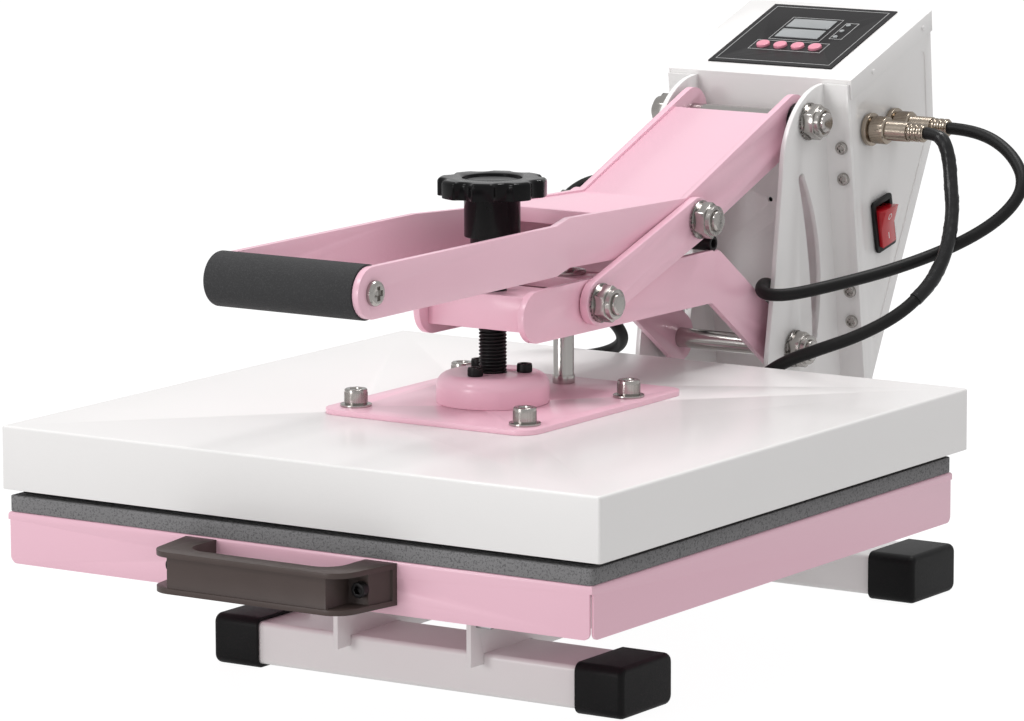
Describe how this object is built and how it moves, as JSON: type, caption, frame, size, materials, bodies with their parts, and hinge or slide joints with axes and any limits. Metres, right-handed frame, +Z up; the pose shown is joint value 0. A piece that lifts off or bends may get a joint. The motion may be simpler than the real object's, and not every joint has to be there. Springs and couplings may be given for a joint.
{
  "type": "slide-out heat press",
  "caption": "Slide-out heat press: heated square platen on a toggle linkage with hand lever, height knob, pull-out padded drawer and a wedge control box.",
  "frame": {"origin": "centre of the footprint at floor level", "axes": "+X to the operator's right, +Y to the back, +Z up; the pull handle faces -Y"},
  "size_m": [0.396, 0.6392, 0.3445],
  "materials": {
    "white_paint": "smooth satin powder coat",
    "pink_paint": "smooth satin powder coat",
    "plate_aluminium": "machined, dark edge",
    "steel": "bright zinc plated",
    "black_steel": "black oxide",
    "shaft_steel": "turned and polished",
    "wool": "pressed ceramic wool",
    "silicone_foam": "grey silicone foam with dark specks",
    "foam_grip": "fine closed-cell foam",
    "cap_plastic": "moulded, finely grained",
    "handle_plastic": "moulded, slight sheen",
    "knob_plastic": "glossy phenolic",
    "overlay_film": "satin black film",
    "window_plastic": "glossy dark window",
    "key_plastic": "pink silicone keys",
    "rocker_plastic": "red glossy rocker",
    "lead_jacket": "smooth black silicone jacket",
    "nickel": "satin nickel",
    "board": "green solder mask"
  },
  "bodies": {
    "stand": {"stand_plate_left": "white_paint", "stand_plate_right": "white_paint", "flange_screws": "steel", "pivot_shafts": "shaft_steel", "pivot_nuts": "steel", "pivot_spacers": "cap_plastic", "foot_tubes": "white_paint", "foot_caps": "cap_plastic", "cross_brace": "white_paint", "box_shell": "white_paint", "box_side_left": "white_paint", "box_side_right": "white_paint", "box_lid": "white_paint", "panel_overlay": "overlay_film", "display_windows": "window_plastic", "display_board": "board", "relay_module": "cap_plastic", "switch_housing": "cap_plastic", "lead_sockets": "nickel", "lead_plugs": "nickel", "power_inlet": "cap_plastic", "slide_outer_members": "steel", "lead_front": "lead_jacket", "lead_rear": "lead_jacket"},
    "slide_middle": {"slide_middle_members": "steel"},
    "drawer": {"drawer_pan": "pink_paint", "silicone_pad": "silicone_foam", "pull_handle": "handle_plastic", "pull_screws": "steel", "slide_inner_members": "steel", "drawer_carriage": "steel"},
    "arm": {"arm_plates": "pink_paint", "arm_channels": "pink_paint", "arm_bushes": "shaft_steel", "arm_stop_bar": "black_steel"},
    "platen": {"platen_cover": "white_paint", "heating_plate": "plate_aluminium", "heating_element": "steel", "insulation": "wool", "mounting_plate": "pink_paint", "platen_screws": "steel", "hub": "pink_paint", "hub_screws": "black_steel", "guide_post": "shaft_steel", "lead_glands": "cap_plastic"},
    "height_knob": {"height_screw": "black_steel", "knob": "knob_plastic"},
    "lever": {"lever_bars": "pink_paint", "lever_web": "pink_paint", "grip_rod": "steel", "grip": "foam_grip"},
    "link": {"link_bars": "pink_paint", "link_bolts": "shaft_steel", "link_nuts": "steel"},
    "rocker": {"switch_rocker": "rocker_plastic"},
    "key_1": {"key_1": "key_plastic"},
    "key_2": {"key_2": "key_plastic"},
    "key_3": {"key_3": "key_plastic"},
    "key_4": {"key_4": "key_plastic"}
  },
  "joints": [
    {"name": "drawer_pull", "type": "slide", "parent": "stand", "child": "drawer", "axis": [0, -1, 0], "range_m": [0, 0.3]},
    {"name": "slide_follow", "type": "slide", "parent": "stand", "child": "slide_middle", "axis": [0, -1, 0], "range_m": [0, 0.15]},
    {"name": "arm_tilt", "type": "hinge", "parent": "stand", "child": "arm", "pos_m": [0, 0.17853, 0.1518], "axis": [-1, 0, 0], "range_deg": [0, 33.73], "deforming": ["lead_front", "lead_rear"]},
    {"name": "platen_adjust", "type": "slide", "parent": "arm", "child": "platen", "axis": [0, 0, 1], "range_m": [0, 0.008], "deforming": ["lead_front", "lead_rear"]},
    {"name": "knob_turn", "type": "hinge", "parent": "platen", "child": "height_knob", "pos_m": [0, -0.07797, 0.2], "axis": [0, 0, 1], "range_deg": [0, 1440]},
    {"name": "lever_lift", "type": "hinge", "parent": "stand", "child": "lever", "pos_m": [0, 0.19393, 0.2874], "axis": [-1, 0, 0], "range_deg": [0, 75]},
    {"name": "link_swing", "type": "hinge", "parent": "lever", "child": "link", "pos_m": [0, 0.07553, 0.242], "axis": [-1, 0, 0], "range_deg": [-98.18, 0]},
    {"name": "switch_rock", "type": "hinge", "parent": "stand", "child": "rocker", "pos_m": [0.059, 0.25633, 0.2198], "axis": [0, 0.9781, 0.2079], "range_deg": [-20, 0]},
    {"name": "key_1_press", "type": "slide", "parent": "stand", "child": "key_1", "axis": [0, 0.322, -0.9467], "range_m": [0, 0.0008], "stiffness_N_per_m": 250},
    {"name": "key_2_press", "type": "slide", "parent": "stand", "child": "key_2", "axis": [0, 0.322, -0.9467], "range_m": [0, 0.0008], "stiffness_N_per_m": 250},
    {"name": "key_3_press", "type": "slide", "parent": "stand", "child": "key_3", "axis": [0, 0.322, -0.9467], "range_m": [0, 0.0008], "stiffness_N_per_m": 250},
    {"name": "key_4_press", "type": "slide", "parent": "stand", "child": "key_4", "axis": [0, 0.322, -0.9467], "range_m": [0, 0.0008], "stiffness_N_per_m": 250}
  ],
  "couplings": [
    {"joint": "slide_follow", "follows": "drawer_pull", "ratio": 0.5},
    {"joint": "lever_lift", "follows": "arm_tilt", "ratio": 2.2236},
    {"joint": "link_swing", "follows": "arm_tilt", "ratio": -2.9109},
    {"joint": "knob_turn", "follows": "platen_adjust", "rad_per_m": 3141.6}
  ]
}
